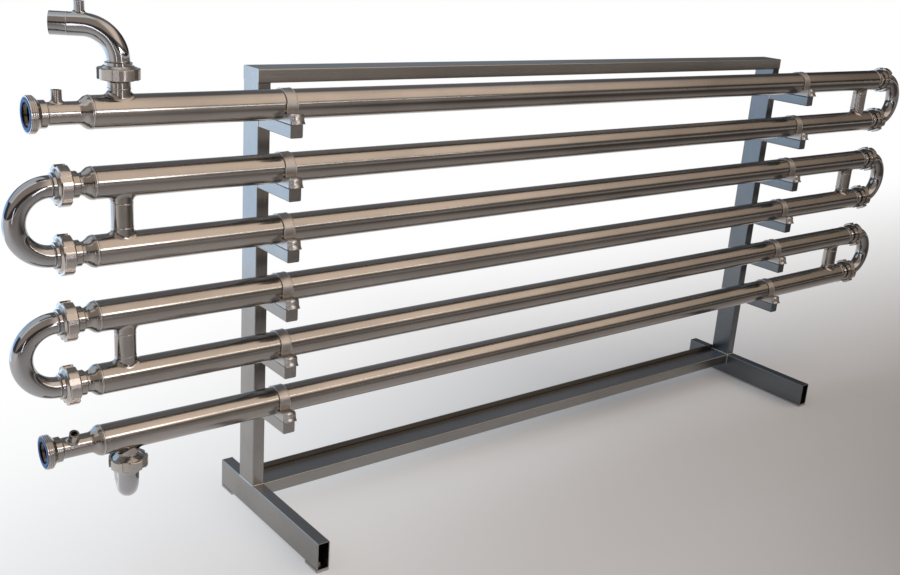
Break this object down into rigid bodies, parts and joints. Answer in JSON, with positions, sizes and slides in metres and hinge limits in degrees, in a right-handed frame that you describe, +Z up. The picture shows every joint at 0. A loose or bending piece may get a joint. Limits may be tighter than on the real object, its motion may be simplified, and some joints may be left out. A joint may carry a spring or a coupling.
{
  "type": "tubular heat exchanger",
  "caption": "Stainless shell and tube heat exchanger: stacked horizontal tube modules joined by bends, strapped to an open floor stand.",
  "frame": {"origin": "centre of the stand's footprint, on the floor", "axes": "+X along the tubes away from the open product ports, -Y is the front where the tubes are, +Z up"},
  "size_m": [2.827, 0.44, 1.147],
  "materials": {
    "shell_steel": "satin, brushed along the tube",
    "polished_pipe": "mirror polished",
    "cast_union_steel": "fine turned",
    "frame_steel": "satin, brushed along the section",
    "dark_bar": "dull",
    "strap_steel": "satin",
    "screw_steel": "plain",
    "inner_tube_steel": "plain",
    "seal_rubber": "smooth"
  },
  "bodies": {
    "root": {"arms_left": "frame_steel", "arms_right": "frame_steel", "base_beam": "frame_steel", "bend_left_2_3": "polished_pipe", "bend_left_4_5": "polished_pipe", "bend_right_1_2": "polished_pipe", "bend_right_3_4": "polished_pipe", "bend_right_5_6": "polished_pipe", "elbow_bottom": "polished_pipe", "elbow_top": "polished_pipe", "foot_left": "frame_steel", "foot_pads": "strap_steel", "foot_right": "frame_steel", "header_left_1": "shell_steel", "header_left_2": "shell_steel", "header_left_3": "shell_steel", "header_left_4": "shell_steel", "header_left_5": "shell_steel", "header_left_6": "shell_steel", "header_right_1": "shell_steel", "header_right_2": "shell_steel", "header_right_3": "shell_steel", "header_right_4": "shell_steel", "header_right_5": "shell_steel", "header_right_6": "shell_steel", "jumper_1_2": "shell_steel", "jumper_2_3": "shell_steel", "jumper_3_4": "shell_steel", "jumper_4_5": "shell_steel", "jumper_5_6": "shell_steel", "nozzle_bottom": "shell_steel", "nozzle_top": "shell_steel", "pad_screws": "screw_steel", "post_left": "frame_steel", "post_right": "frame_steel", "rear_bar": "dark_bar", "saddles_left": "strap_steel", "saddles_right": "strap_steel", "shell_1": "shell_steel", "shell_2": "shell_steel", "shell_3": "shell_steel", "shell_4": "shell_steel", "shell_5": "shell_steel", "shell_6": "shell_steel", "strap_screws_left": "screw_steel", "strap_screws_right": "screw_steel", "straps_left": "strap_steel", "straps_right": "strap_steel", "top_rail": "frame_steel", "tube_bundle_1": "inner_tube_steel", "tube_bundle_2": "inner_tube_steel", "tube_bundle_3": "inner_tube_steel", "tube_bundle_4": "inner_tube_steel", "tube_bundle_5": "inner_tube_steel", "tube_bundle_6": "inner_tube_steel", "union_nuts_left": "cast_union_steel", "union_nuts_right": "cast_union_steel", "union_seals_left": "seal_rubber", "union_seals_right": "seal_rubber"}
  },
  "joints": []
}
